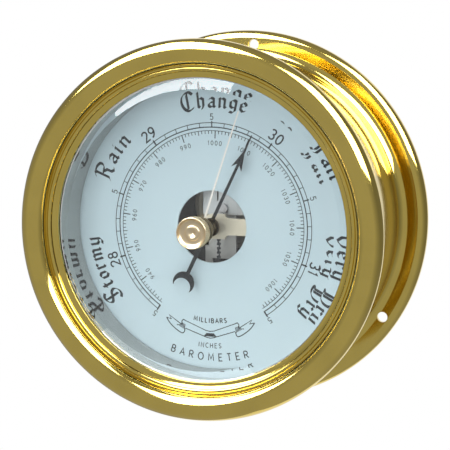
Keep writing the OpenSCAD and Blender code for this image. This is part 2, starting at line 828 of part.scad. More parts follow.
module set_knob() {
    r = knob_d / 2;
    dish_r = r - 0.7;
    dish_l = 1.5;
    land_r = dish_r * 0.52;
    end_r = r - knob_tooth_h - 0.1;
    color(brass) face_on() translate([0, 0, knob_base_h]) difference() {
        union() {
            translate([0, 0, 0.6]) linear_extrude(height = knob_l - 1.2)
                polygon(knurl(r, knob_teeth, knob_tooth_h));
            cylinder(h = 0.7, r1 = r - 1.1, r2 = end_r);
            translate([0, 0, knob_l - 0.7]) cylinder(h = 0.7, r = end_r);
        }
        translate([0, 0, knob_l - dish_l]) difference() {
            cylinder(h = dish_l + 1, r1 = land_r + 0.4, r2 = dish_r + 0.6);
            translate([0, 0, -1]) cylinder(h = 1.6, r1 = land_r + 0.4, r2 = land_r - 0.4);
        }
        translate([0, 0, knob_l - dish_l]) cylinder(h = 1, r1 = 0.4, r2 = 1.9);
        translate([0, 0, -1]) cylinder(h = 1 + knob_grip, r = spindle_r);
    }
}

case_body();
back_plate();
back_plate_screws();
movement_spacers();
movement_screws();
base_plate();
adjusting_screw();
capsule_lower();
capsule_upper();
capsule_post();
capsule_nut();
spring_bridge();
mainspring();
spring_clamp();
spring_clamp_screws();
main_lever();
lever_screws();
link_rod();
rocker_bar();
rocker_posts();
pivot_screws();
chain();
arbor_pillar();
lower_arm();
cage_spacer();
upper_arm();
cage_screw();
arbor();
hairspring();
hairspring_stud();
dial();
dial_feet();
dial_foot_screws();
pointer();
pointer_hub();
reflector_ring();
glass_gasket();
glass();
retaining_ring();
bezel_ring();
set_spindle();
set_hand();
set_hand_hub();
glass_washers();
set_knob();
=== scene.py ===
# %% [markdown]
# # A bulkhead aneroid barometer
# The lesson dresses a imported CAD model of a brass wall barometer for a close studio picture.
# The CAD nodes give every size. Turned and polished pieces are worked out again here as smooth
# surfaces, because a mirror finish shows each flat facet of a coarse mesh.

# %% Load the frame
import bpy
import math
import numpy as np
from mathutils import Matrix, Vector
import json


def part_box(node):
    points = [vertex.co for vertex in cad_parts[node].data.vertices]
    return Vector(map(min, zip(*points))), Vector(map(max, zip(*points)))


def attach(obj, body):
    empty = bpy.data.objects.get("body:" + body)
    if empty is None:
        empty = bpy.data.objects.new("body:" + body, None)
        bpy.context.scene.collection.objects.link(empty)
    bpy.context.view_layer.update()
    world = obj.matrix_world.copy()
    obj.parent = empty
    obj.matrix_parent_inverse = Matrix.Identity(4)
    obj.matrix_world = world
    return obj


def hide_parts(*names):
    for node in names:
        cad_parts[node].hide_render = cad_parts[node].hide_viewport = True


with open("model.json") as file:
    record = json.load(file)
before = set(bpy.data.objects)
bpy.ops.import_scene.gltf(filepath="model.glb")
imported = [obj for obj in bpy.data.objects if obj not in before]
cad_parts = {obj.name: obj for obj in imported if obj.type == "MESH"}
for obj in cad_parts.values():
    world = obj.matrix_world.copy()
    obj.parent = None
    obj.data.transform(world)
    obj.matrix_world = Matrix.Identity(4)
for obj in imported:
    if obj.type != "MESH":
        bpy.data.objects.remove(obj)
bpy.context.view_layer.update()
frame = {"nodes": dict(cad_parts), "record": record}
MM = 0.001


# %% [markdown]
# ## Where things are
# The dial faces -Y. A turned piece is described by pairs of radius and height above the wall,
# so two numbers place every ring of the instrument. The heights come from the CAD boxes,
# which keeps the new pieces where the frame has them.

# %% Heights and radii from the frame
def span(node):
    """Lowest height, highest height and radius of a node in mm; heights count from the wall along -Y."""
    low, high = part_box(node)
    return -high[1] / MM, -low[1] / MM, (high[0] - low[0]) / 2 / MM


_, DRUM_TOP, FLANGE_R = span("case_body")
DIAL_BACK, DIAL_FACE, DIAL_R = span("dial")
GLASS_BACK, GLASS_FACE, GLASS_R = span("glass")
GLASS_RIM_T = 1.7
GLASS_FRONT = GLASS_BACK + GLASS_RIM_T   # where the bezel's lip bears on the thin rim of the glass
SKIRT_END, ROLL_TOP, ROLL_R = span("bezel_ring")
WALL_FOOT, WALL_TOP, WALL_FLANGE_R = span("reflector_ring")
KNOB_BASE, KNOB_FACE, KNOB_R = span("set_knob")
print("dial face %.2f, glass %.2f to %.2f, roll top %.2f mm" % (DIAL_FACE, GLASS_BACK, GLASS_FACE, ROLL_TOP))


# %% [markdown]
# ## From arrays to meshes
# Each piece is a grid of points worked out as whole numpy arrays. One function puts such a grid
# into a mesh, turns its faces outwards by the sign of its volume, and hands it to the frame.

# %% Grid meshes
def grid_quads(rows, columns, close_rows, close_columns):
    """Corner numbers of the quads of a rows x columns grid, wrapped where asked.

    A quad is (i, j), (i + 1, j), (i + 1, j + 1), (i, j + 1).
    """
    i = np.arange(rows if close_rows else rows - 1)
    j = np.arange(columns if close_columns else columns - 1)
    i, j = np.meshgrid(i, j, indexing="ij")
    a, b = (i + 1) % rows, (j + 1) % columns
    corners = [i * columns + j, a * columns + j, a * columns + b, i * columns + b]
    return np.stack(corners, axis=-1).reshape(-1, 4)


def make_mesh(name, points, faces, sharp=None, flip=False):
    """A mesh object from an N x 3 array in metres and its faces; sharp is the crease angle in degrees."""
    faces = [list(map(int, f)) for f in faces]
    mesh = bpy.data.meshes.new(name)
    mesh.from_pydata(np.asarray(points, float).tolist(), [], [f[::-1] for f in faces] if flip else faces)
    mesh.validate()
    mesh.polygons.foreach_set("use_smooth", np.full(len(mesh.polygons), sharp is not None))
    if sharp is not None:
        mesh.set_sharp_from_angle(angle=math.radians(sharp))
    piece = bpy.data.objects.new(name, mesh)
    bpy.context.scene.collection.objects.link(piece)
    return piece


def volume(points, quads):
    """Signed volume of a closed quad mesh: the sum of p0 . (p1 x p2) / 6 over its triangles."""
    q = np.asarray(quads)
    total = 0.0
    for corners in ((0, 1, 2), (0, 2, 3)):
        p = [points[q[:, c]] for c in corners]
        total += np.einsum("ij,ij->i", p[0], np.cross(p[1], p[2])).sum() / 6
    return total


def hand_over(piece, body, slot, material, *nodes):
    """The piece gets its material, rides on its body and stands for the CAD nodes named."""
    piece.data.materials.clear()
    piece.data.materials.append(material)
    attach(piece, body)
    if nodes:
        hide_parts(*nodes)
    print("%-16s %6d faces on %s" % (piece.name, len(piece.data.polygons), body))
    return piece


# %% [markdown]
# ## Turning on the lathe
# The case was spun and the bezel turned, so one closed profile of radius and height, carried round
# the axis, gives each of them. Fine steps round the axis and along the arcs keep the reflections
# clean, and the crease angle leaves the turned edges crisp.

# %% Profiles and turned pieces
def arc(centre, radius, start, end, steps):
    """Points of a circle arc in a profile: centre + radius (cos a, sin a), a from start to end in degrees."""
    a = np.radians(np.linspace(start, end, steps))
    return np.stack([centre[0] + radius * np.cos(a), centre[1] + radius * np.sin(a)], axis=1)


def joined(*parts):
    """One array of two numbers a row, from corner points and arcs in their order."""
    return np.vstack([np.atleast_2d(np.asarray(p, float)) for p in parts])


CREASE = 32   # degrees; a steeper edge stays crisp


def turned(name, section, steps, sharp=CREASE):
    """A surface of revolution: x = r cos a, y = -h, z = r sin a, for every section row (r, h) and angle a."""
    a = np.linspace(0, 2 * np.pi, steps, endpoint=False)[:, None]
    r, h = section[None, :, 0], section[None, :, 1]
    rows = [r * np.cos(a), np.broadcast_to(-h, (steps, len(section))), r * np.sin(a)]
    points = np.stack(rows, axis=-1).reshape(-1, 3) * MM
    quads = grid_quads(steps, len(section), True, True)
    return make_mesh(name, points, quads, sharp, flip=volume(points, quads) < 0)


# %% [markdown]
# ## Shared effects
# Real metal is never one flat value. Three node groups are made once and used by several
# materials: smudges that change the roughness, fine turning rings round the axis, and a
# straight grain for rolled strip.

# %% Node group helpers
def new_group(name, inputs, outputs):
    """An empty shader node group; inputs is {name: (type, default)} and outputs {name: type}."""
    tree = bpy.data.node_groups.new(name, "ShaderNodeTree")
    for label, (kind, value) in inputs.items():
        socket = tree.interface.new_socket(label, in_out="INPUT", socket_type="NodeSocket" + kind)
        socket.default_value = value
    for label, kind in outputs.items():
        tree.interface.new_socket(label, in_out="OUTPUT", socket_type="NodeSocket" + kind)
    return tree, tree.nodes.new("NodeGroupInput"), tree.nodes.new("NodeGroupOutput")


def add(tree, kind, links=(), **settings):
    """A node of that kind, with links as (source, socket).

    Settings name its properties or, where they start with in_, its sockets.
    """
    node = tree.nodes.new(kind)
    for key, value in settings.items():
        if key.startswith("in_"):
            label = key[3:].replace("_", " ")
            node.inputs[int(label) if label.isdigit() else label].default_value = value
        else:
            setattr(node, key, value)
    for source, target in links:
        tree.links.new(source, node.inputs[target])
    return node


def math_node(tree, operation, first, second=None, clamp=False):
    """first and second joined by a Math operation; each is a socket or a number."""
    node = tree.nodes.new("ShaderNodeMath")
    node.operation = operation
    node.use_clamp = clamp
    for k, value in enumerate((first, second)):
        if value is None:
            continue
        if isinstance(value, (int, float)):
            node.inputs[k].default_value = value
        else:
            tree.links.new(value, node.inputs[k])
    return node.outputs[0]


# %% Smudges
def make_smudge_group():
    """Roughness = base + spread x noise, with fine dust specks; Mask is the noise itself."""
    inputs = {"Base": ("Float", 0.1), "Spread": ("Float", 0.1), "Scale": ("Float", 60.0)}
    tree, inside, out = new_group("smudges", inputs, {"Roughness": "Float", "Mask": "Float"})
    place = add(tree, "ShaderNodeTexCoord")
    cloud = add(tree, "ShaderNodeTexNoise",
                [(place.outputs["Object"], "Vector"), (inside.outputs["Scale"], "Scale")], in_Detail=5.0)
    specks = add(tree, "ShaderNodeTexNoise", [(place.outputs["Object"], "Vector")],
                 in_Scale=900.0, in_Detail=2.0)
    mask = math_node(tree, "MULTIPLY", cloud.outputs["Fac"], cloud.outputs["Fac"])
    mask = math_node(tree, "ADD", mask, math_node(tree, "MULTIPLY", specks.outputs["Fac"], 0.12))
    spread = math_node(tree, "MULTIPLY", mask, inside.outputs["Spread"])
    rough = math_node(tree, "ADD", inside.outputs["Base"], spread, clamp=True)
    tree.links.new(rough, out.inputs["Roughness"])
    tree.links.new(mask, out.inputs["Mask"])
    return tree


SMUDGES = make_smudge_group()


# %% Turning rings
def make_rings_group():
    """Height of fine turning rings: noise read along sqrt(x^2 + z^2) + y, so it is the same all round."""
    tree, inside, out = new_group("turning_rings", {"Rings per mm": ("Float", 6.0)}, {"Height": "Float"})
    place = add(tree, "ShaderNodeTexCoord")
    axes = add(tree, "ShaderNodeSeparateXYZ", [(place.outputs["Object"], "Vector")])
    x2 = math_node(tree, "MULTIPLY", axes.outputs["X"], axes.outputs["X"])
    z2 = math_node(tree, "MULTIPLY", axes.outputs["Z"], axes.outputs["Z"])
    r = math_node(tree, "SQRT", math_node(tree, "ADD", x2, z2))
    along = math_node(tree, "MULTIPLY", math_node(tree, "ADD", r, axes.outputs["Y"]), 1 / MM)
    along = math_node(tree, "MULTIPLY", along, inside.outputs["Rings per mm"])
    rings = add(tree, "ShaderNodeTexNoise", [(along, "W")],
                noise_dimensions="1D", in_Scale=1.0, in_Detail=3.0)
    tree.links.new(rings.outputs["Fac"], out.inputs["Height"])
    return tree


RINGS = make_rings_group()


# %% Straight grain
def make_grain_group():
    """Height and Mask of a rolled grain: noise stretched along the axis whose Stretch is small."""
    inputs = {"Scale": ("Float", 900.0), "Stretch": ("Vector", (1.0, 1.0, 0.03))}
    tree, inside, out = new_group("strip_grain", inputs, {"Height": "Float", "Mask": "Float"})
    place = add(tree, "ShaderNodeTexCoord")
    drawn = add(tree, "ShaderNodeVectorMath",
                [(place.outputs["Object"], 0), (inside.outputs["Stretch"], 1)], operation="MULTIPLY")
    fine = add(tree, "ShaderNodeTexNoise",
               [(drawn.outputs["Vector"], "Vector"), (inside.outputs["Scale"], "Scale")], in_Detail=4.0)
    broad = add(tree, "ShaderNodeTexNoise", [(place.outputs["Object"], "Vector")],
                in_Scale=180.0, in_Detail=3.0)
    mask = math_node(tree, "MULTIPLY", fine.outputs["Fac"], broad.outputs["Fac"])
    tree.links.new(fine.outputs["Fac"], out.inputs["Height"])
    tree.links.new(mask, out.inputs["Mask"])
    return tree


GRAIN = make_grain_group()
print("effects:", [group.name for group in (SMUDGES, RINGS, GRAIN)])


# %% [markdown]
# ## Metals
# Polished lacquered brass is a metal with a low roughness and thin smudges under a clear coat. Its
# depth comes from what it mirrors. The turned rings show only as a faint bump, because the case
# was buffed.

# %% What all finishes share
def new_finish(name, rough, spread, smudge_scale=60.0):
    """A material whose roughness comes from the smudges: the material, its tree, shader and smudge node."""
    material = bpy.data.materials.new(name)
    material.use_nodes = True
    tree = material.node_tree
    shader = tree.nodes["Principled BSDF"]
    smudge = add(tree, "ShaderNodeGroup", node_tree=SMUDGES)
    smudge.inputs["Base"].default_value = rough
    smudge.inputs["Spread"].default_value = spread
    smudge.inputs["Scale"].default_value = smudge_scale
    tree.links.new(smudge.outputs["Roughness"], shader.inputs["Roughness"])
    return material, tree, shader, smudge


def two_tones(tree, shader, mask, colour, darker):
    """Base colour: colour where the mask is 0, colour x darker where it is 1."""
    mix = add(tree, "ShaderNodeMix", [(mask, "Factor")], data_type="RGBA")
    mix.inputs["A"].default_value = (*colour, 1)
    mix.inputs["B"].default_value = (*[c * darker for c in colour], 1)
    tree.links.new(mix.outputs["Result"], shader.inputs["Base Color"])


# %% Brass, steel and black finishes
def metal(name, colour, rough, spread=0.1, rings=0.0, grain=None, darker=0.75, smudge_scale=60.0, coat=0.0):
    """A metal in two tones, mixed by the smudge mask or, where there is grain, by the grain's mask.

    Its bump comes from rings or grain.
    """
    material, tree, shader, smudge = new_finish(name, rough, spread, smudge_scale)
    shader.inputs["Metallic"].default_value = 1.0
    shader.inputs["Coat Weight"].default_value = coat
    mask = smudge.outputs["Mask"]
    if grain:
        strip = add(tree, "ShaderNodeGroup", node_tree=GRAIN)
        strip.inputs["Scale"].default_value, strip.inputs["Stretch"].default_value = grain
        mask, height = strip.outputs["Mask"], strip.outputs["Height"]
    if rings:
        lathe = add(tree, "ShaderNodeGroup", node_tree=RINGS)
        height = lathe.outputs["Height"]
    two_tones(tree, shader, mask, colour, darker)
    if rings or grain:
        bump = add(tree, "ShaderNodeBump", [(height, "Height")],
                   in_Strength=rings or GRAIN_BUMP, in_Distance=0.02 * MM)
        tree.links.new(bump.outputs["Normal"], shader.inputs["Normal"])
    return material


GRAIN_BUMP = 0.25
CASE_BRASS = metal("case_brass", (0.80, 0.61, 0.14), 0.05, 0.09, rings=0.1, coat=0.5)
BRASS = metal("turned_brass", (0.50, 0.38, 0.13), 0.22, 0.15, rings=0.3)
KNOB_BRASS = metal("knob_brass", (0.82, 0.68, 0.46), 0.3, 0.1, rings=0.3)
PALE_BRASS = metal("pale_brass", (0.60, 0.56, 0.45), 0.42, 0.15,
                   grain=(500.0, (0.05, 1.0, 1.0)), darker=0.85)
STEEL = metal("bright_steel", (0.45, 0.45, 0.46), 0.25, 0.15, rings=0.2)
SPRING_STEEL = metal("spring_steel", (0.62, 0.65, 0.66), 0.42, 0.2,
                     grain=(900.0, (1.0, 1.0, 0.2)), darker=0.55)
LEVER_STEEL = metal("lever_steel", (0.50, 0.50, 0.48), 0.45, 0.2,
                    grain=(1400.0, (1.0, 1.0, 0.6)), darker=0.5)
HUB_BRONZE = metal("hub_bronze", (0.30, 0.25, 0.17), 0.4, 0.2, darker=0.5, smudge_scale=500.0)
DARK_STEEL = metal("dark_steel", (0.035, 0.038, 0.042), 0.45, 0.2, darker=0.6)
MIRROR = metal("reflector_plating", (0.46, 0.45, 0.43), 0.02, 0.03, darker=0.96)


# %% [markdown]
# ## Paint, rubber and glass
# These are not metals: a diffuse colour under a clear gloss. The noise here changes colour and
# roughness only a little, as on an enamelled dial seen close.

# %% Painted finishes
def painted(name, colour, rough, spread, darker=0.85, bump=0.1, specular=0.5):
    """A diffuse paint in two tones, mixed by fine noise, with a slight orange-peel bump."""
    material, tree, shader, smudge = new_finish(name, rough, spread, smudge_scale=120.0)
    shader.inputs["Specular IOR Level"].default_value = specular
    two_tones(tree, shader, smudge.outputs["Mask"], colour, darker)
    peel = add(tree, "ShaderNodeBump", [(smudge.outputs["Mask"], "Height")],
               in_Strength=bump, in_Distance=0.03 * MM)
    tree.links.new(peel.outputs["Normal"], shader.inputs["Normal"])
    return material


DIAL_PAINT = painted("dial_silvering", (0.52, 0.66, 0.72), 0.45, 0.2, darker=0.96, bump=0.03)
BLACK = painted("black_lacquer", (0.006, 0.009, 0.012), 0.42, 0.2, darker=0.7, specular=0.1)
INK = painted("dial_ink", (0.012, 0.018, 0.024), 0.6, 0.2, darker=0.7, bump=0.0, specular=0.2)
HAND_WHITE = painted("set_hand_lacquer", (0.78, 0.75, 0.70), 0.35, 0.2, darker=0.85)
RUBBER = painted("black_rubber", (0.02, 0.02, 0.02), 0.6, 0.2)


def make_glass():
    """Clear glass; its faint smudges change only the roughness."""
    material, _, shader, _ = new_finish("clear_glass", 0.0, 0.015)
    shader.inputs["Base Color"].default_value = (0.97, 0.99, 0.99, 1)
    shader.inputs["Transmission Weight"].default_value = 1.0
    shader.inputs["IOR"].default_value = 1.5
    return material


GLASS = make_glass()
print("finishes:", sorted(m.name for m in bpy.data.materials if m.use_nodes))

# %% [markdown]
# ## The case
# One disc of brass was spun into flange, cove and drum, and a ring soldered inside carries the
# movement. The profile is carried round the axis, and three screw holes are then cut through the
# flange, as a drill does.

# %% Case
COVE, ROUND, SHEET = 4.0, 3.7, 1.6
FLANGE_H = 4.5
DRUM_R = 65.0
LEDGE_W, LEDGE_LOW, LEDGE_TOP = 3.6, 4.4, 6.0
TOP_BAND, FOOT_BAND = 14, 8   # rows of their own, so that the straight drum is shaded evenly
BORE_R = DRUM_R - SHEET
CASE_SECTION = joined(
    (BORE_R, DRUM_TOP), (DRUM_R, DRUM_TOP), (DRUM_R, DRUM_TOP - TOP_BAND),
    (DRUM_R, FLANGE_H + COVE + FOOT_BAND),
    arc((DRUM_R + COVE, FLANGE_H + COVE), COVE, 180, 270, 20),
    arc((FLANGE_R - ROUND, FLANGE_H - ROUND), ROUND, 90, 0, 22), (FLANGE_R, 0), (FLANGE_R - SHEET, 0),
    arc((FLANGE_R - ROUND, FLANGE_H - ROUND), ROUND - SHEET, 0, 90, 10), (BORE_R, FLANGE_H - SHEET),
    (BORE_R, LEDGE_LOW), (BORE_R - LEDGE_W, LEDGE_LOW), (BORE_R - LEDGE_W, LEDGE_TOP), (BORE_R, LEDGE_TOP))
FINE = 360   # steps round the large polished rings
case = turned("case", CASE_SECTION, FINE)


def drill(piece, spots, radius, low, high, sides=48):
    """Cuts round holes along Y: spots are (x, z) in mm, and each cutter is a prism between two heights."""
    a = np.linspace(0, 2 * np.pi, sides, endpoint=False)
    ring = np.stack([radius * np.cos(a), 0 * a, radius * np.sin(a)], axis=1)
    for x, z in spots:
        ends = [(ring + (x, -h, z)) * MM for h in (low, high)]
        walls = [(k, (k + 1) % sides, sides + (k + 1) % sides, sides + k) for k in range(sides)]
        lids = [tuple(range(sides - 1, -1, -1)), tuple(range(sides, 2 * sides))]
        cutter = make_mesh("cutter", np.vstack(ends), walls + lids)
        cut = piece.modifiers.new("hole", "BOOLEAN")
        cut.operation, cut.solver, cut.object = "DIFFERENCE", "EXACT", cutter
        bpy.context.view_layer.objects.active = piece
        bpy.ops.object.modifier_apply(modifier="hole")
        bpy.data.objects.remove(cutter)
    piece.data.set_sharp_from_angle(angle=math.radians(CREASE))


HOLE_CIRCLE_R, HOLE_R = 70.3, 2.1
HOLE_ANGLES = np.radians([86.8, -33.2, -153.2])
BELOW_FLANGE, ABOVE_FLANGE = 1.0, 10.0
drill(case, [(HOLE_CIRCLE_R * math.cos(a), HOLE_CIRCLE_R * math.sin(a)) for a in HOLE_ANGLES],
      HOLE_R, BELOW_FLANGE, ABOVE_FLANGE)
hand_over(case, "case", "case_brass", CASE_BRASS, "case_body")

# %% [markdown]
# ## The bezel
# The bezel has a plain skirt, a thick roll, a small bead inside it and a hollow slope down to the
# glass. All of that is one turned profile.

# %% Bezel
LIP_R, LIP_ROUND = 58.0, 0.25
LIP_H = GLASS_FRONT + 0.8
ROLL_TUBE_R, BEAD_TUBE_R = 5.0, 1.0
ROLL_C = (ROLL_R - ROLL_TUBE_R, ROLL_TOP - ROLL_TUBE_R)
BEAD_C = (61.2, LIP_H + 1.2)
BACK_H = GLASS_FRONT - 3.6
SKIRT_R, SKIRT_BORE_R, POCKET_R, POCKET_H = 67.0, 65.1, 61.3, 51.9
BEZEL_SECTION = joined(
    (LIP_R, GLASS_FRONT), (LIP_R, LIP_H - LIP_ROUND),
    arc((LIP_R + LIP_ROUND, LIP_H - LIP_ROUND), LIP_ROUND, 180, 100, 5),
    (LIP_R + 0.8, LIP_H + 0.08), (LIP_R + 1.5, LIP_H + 0.32), (LIP_R + 2.0, LIP_H + 0.62),
    arc(BEAD_C, BEAD_TUBE_R, 205, 36, 18), arc(ROLL_C, ROLL_TUBE_R, 176.7, -57, 64),
    (69.7, BACK_H + 0.2), (69.5, BACK_H),
    (SKIRT_R, BACK_H), (SKIRT_R, SKIRT_END + 0.3), (SKIRT_R - 0.3, SKIRT_END), (SKIRT_BORE_R, SKIRT_END),
    (SKIRT_BORE_R, POCKET_H), (POCKET_R, POCKET_H), (POCKET_R, GLASS_FRONT))
hand_over(turned("bezel", BEZEL_SECTION, FINE, sharp=30), "bezel", "case_brass", CASE_BRASS, "bezel_ring")

# %% [markdown]
# ## Glass and reflector
# The glass has a bevelled edge, which is a prism all round: through it the rim of the dial is seen a
# second time, a little further out. Behind the glass a plated wall stands on the dial, and it mirrors
# the printed words on the side that faces the camera. The pane throws no shadow, so that the lamps
# reach the dial through it.

# %% Reflector and glass
WALL_R, FLARE, PLATE = 55.8, 1.4, 0.8
WALL_SECTION = joined(
    (WALL_R, WALL_FOOT), (WALL_R + FLARE, WALL_TOP), (WALL_FLANGE_R, WALL_TOP),
    (WALL_FLANGE_R, WALL_TOP - PLATE), (WALL_R + FLARE + PLATE, WALL_TOP - PLATE), (WALL_R + PLATE, WALL_FOOT))
hand_over(turned("reflector", WALL_SECTION, FINE, sharp=15), "glass_unit", "mirror", MIRROR, "reflector_ring")
BEVEL_W, SPINDLE_HOLE_R = 4.4, 1.55
PANE_SECTION = joined(
    (SPINDLE_HOLE_R, GLASS_BACK), (SPINDLE_HOLE_R, GLASS_FACE), (LIP_R - BEVEL_W, GLASS_FACE),
    (LIP_R, GLASS_FRONT), (GLASS_R, GLASS_FRONT), (GLASS_R, GLASS_BACK))
pane = turned("glass_pane", PANE_SECTION, FINE, sharp=5)
pane.visible_shadow = False
hand_over(pane, "glass_unit", "glass", GLASS, "glass")

# %% [markdown]
# ## The setting knob
# The knob has a straight knurl, a dished front with a raised land and a dimple. It is one grid:
# the profile gives radius and height, and the knurl changes the radius with the angle.

# %% Knob
def knurled(name, section, teeth, depth, steps):
    """A turned grid whose radius loses depth x (1 - |sin(teeth a / 2)|) where a row's third number is 1."""
    a = np.linspace(0, 2 * np.pi, steps, endpoint=False)[:, None]
    r = section[None, :, 0] - section[None, :, 2] * depth * (1 - np.abs(np.sin(teeth * a / 2)))
    rows = [r * np.cos(a), np.broadcast_to(-section[None, :, 1], r.shape), r * np.sin(a)]
    points = np.stack(rows, axis=-1).reshape(-1, 3) * MM
    quads = grid_quads(steps, section.shape[0], True, True)
    return make_mesh(name, points, quads, sharp=40, flip=volume(points, quads) < 0)


def with_flag(points, flag):
    """Adds a third column that says where the knurl is cut."""
    return np.column_stack([np.atleast_2d(points), np.full(len(np.atleast_2d(points)), float(flag))])


KNURL_TEETH, KNURL_DEPTH, STEPS_PER_TOOTH = 46, 0.32, 8
SPINDLE_R = 1.5
RIM = KNOB_R - 0.35
KNOB_SECTION = np.vstack([
    with_flag([(SPINDLE_R, KNOB_BASE), (KNOB_R - 1.1, KNOB_BASE), (KNOB_R - 0.5, KNOB_BASE + 0.6)], 0),
    with_flag([(KNOB_R - 0.05, KNOB_BASE + 0.7), (KNOB_R, KNOB_BASE + 0.9),
               (KNOB_R, KNOB_FACE - 1.0), (KNOB_R - 0.1, KNOB_FACE - 0.65)], 1),
    with_flag(arc((RIM, KNOB_FACE - 0.3), 0.3, 0, 180, 9), 0),
    with_flag([(RIM - 0.45, KNOB_FACE - 0.75), (RIM - 0.8, KNOB_FACE - 1.15),
               (RIM - 1.4, KNOB_FACE - 1.45)], 0),
    with_flag([(RIM - 2.1, KNOB_FACE - 1.5), (3.05, KNOB_FACE - 1.4),
               (2.85, KNOB_FACE - 1.15), (2.4, KNOB_FACE - 0.98)], 0),
    with_flag([(1.9, KNOB_FACE - 0.98), (1.5, KNOB_FACE - 1.15),
               (0.9, KNOB_FACE - 1.6), (0.02, KNOB_FACE - 1.9)], 0),
    with_flag([(0.02, KNOB_FACE - 2.4), (SPINDLE_R, KNOB_FACE - 2.8)], 0)])
knob = knurled("setting_knob", KNOB_SECTION, KNURL_TEETH, KNURL_DEPTH, KNURL_TEETH * STEPS_PER_TOOTH)
hand_over(knob, "set_hand_set", "knob_brass", KNOB_BRASS, "set_knob")

# %% [markdown]
# ## The dial plate
# A thin disc with a round window, silvered pale blue. The print on it is a separate thin layer.

# %% Dial plate
WINDOW_R, BURR = 14.1, 0.12
DIAL_SECTION = joined((WINDOW_R, DIAL_BACK), (WINDOW_R, DIAL_FACE - BURR), (WINDOW_R + BURR, DIAL_FACE),
                      (DIAL_R, DIAL_FACE), (DIAL_R, DIAL_BACK))
hand_over(turned("dial_plate", DIAL_SECTION, 240, sharp=30), "case", "dial_print", DIAL_PAINT, "dial")


# %% [markdown]
# ## Drawing with a pen
# The print is made of strokes. A stroke is a line of points, and a ribbon is laid along it: a
# round pen keeps its width, and a broad pen held at a fixed angle makes thick and thin parts,
# which is how blackletter is written. All ribbons of one layer go into one mesh.

# %% Ribbons
def curve_through(points, steps=8):
    """A smooth line through the points (Catmull-Rom).

    Each span is a cubic whose slope at a point is (next - previous) / 2.
    """
    p = np.asarray(points, float)
    p = np.vstack([2 * p[0] - p[1], p, 2 * p[-1] - p[-2]])
    t = np.linspace(0, 1, steps, endpoint=False)[None, :, None]
    a, b, c, d = (p[k:len(p) - 3 + k][:, None, :] for k in range(4))
    spans = b + 0.5 * t * (c - a + t * (2 * a - 5 * b + 4 * c - d + t * (3 * (b - c) + d - a)))
    return np.vstack([spans.reshape(-1, 2), p[-2]])


def ribbon(line, width, nib=None):
    """Left and right edges of a stroke.

    Round pen: an offset of width / 2 along the mitred normal. Broad pen: a fixed offset at the nib's
    angle, plus half a hairline along the normal.
    """
    line = np.asarray(line, float)
    step = np.diff(line, axis=0)
    step /= np.maximum(np.linalg.norm(step, axis=1), 1e-9)[:, None]
    before, after = np.vstack([step[:1], step]), np.vstack([step, step[-1:]])
    along = before + after
    along /= np.maximum(np.linalg.norm(along, axis=1), 1e-9)[:, None]
    normal = np.stack([-along[:, 1], along[:, 0]], axis=1)
    stretch = 1 / np.clip(np.einsum("ij,ij->i", along, after), 0.5, 1)
    offset = normal * (width / 2 * stretch)[:, None]
    if nib is not None:
        angle, hair = nib
        turn = math.radians(angle)
        fixed = np.array([math.cos(turn), math.sin(turn)]) * width / 2
        side = np.sign(normal @ fixed)
        side[side == 0] = 1
        offset = fixed * side[:, None] + normal * hair / 2
    return line + offset, line - offset


class Layer:
    """Collects the ribbons of a flat layer on the dial, in mm from the dial's centre."""

    def __init__(self):
        self.points, self.faces, self.count = [], [], 0

    def stroke(self, line, width, nib=None):
        """Adds the ribbon along a line; nib is (angle in degrees, hairline in mm) of a broad pen."""
        left, right = ribbon(line, width, nib)
        n = len(left)
        self.points += [left, right]
        k = np.arange(n - 1) + self.count
        self.faces.append(np.stack([k, k + 1, k + 1 + n, k + n], axis=1))
        self.count += 2 * n

    def piece(self, name, height):
        """The layer as one mesh at that height above the wall; every face is turned to look along -Y."""
        flat = np.vstack(self.points)
        quads = np.vstack(self.faces)
        p = flat[quads]
        after = np.roll(p, -1, axis=1)
        area = (p[:, :, 0] * after[:, :, 1] - after[:, :, 0] * p[:, :, 1]).sum(axis=1)
        quads = np.where((area < 0)[:, None], quads[:, ::-1], quads)
        points = np.stack([flat[:, 0], np.full(len(flat), -height), flat[:, 1]], axis=1) * MM
        return make_mesh(name, points, quads)


def polar(radius, degrees):
    """Dial position at a radius and an angle counted clockwise from the top."""
    a = np.radians(90 - np.asarray(degrees, float))
    return np.stack([radius * np.cos(a), radius * np.sin(a)], axis=-1)


# %% [markdown]
# ## Scale
# The inch scale runs from 27.5 to 31.5 with 73 degrees to the inch and 29.5 at the top. The
# millibar comb inside it follows from 33.8639 millibars to the inch.

# %% Tracks and ticks
LOW_INCH, TOP_INCH, HIGH_INCH = 27.5, 29.5, 31.5
DEG_PER_INCH = 73.0
MB_PER_INCH = 33.8639
BAND_INNER_R, BAND_OUTER_R, LONG_TICK_R = 38.6, 40.3, 40.9
COMB_R, TEN_R, FIVE_R, ONE_R = 37.25, 34.3, 35.5, 36.0   # the comb's back, and where its teeth begin


def inch_angle(inches):
    """Angle from the top in degrees: (inches - 29.5) x degrees per inch."""
    return (np.asarray(inches, float) - TOP_INCH) * DEG_PER_INCH


def mb_angle(millibars):
    """Angle from the top in degrees of a reading in millibars."""
    return inch_angle(np.asarray(millibars, float) / MB_PER_INCH)


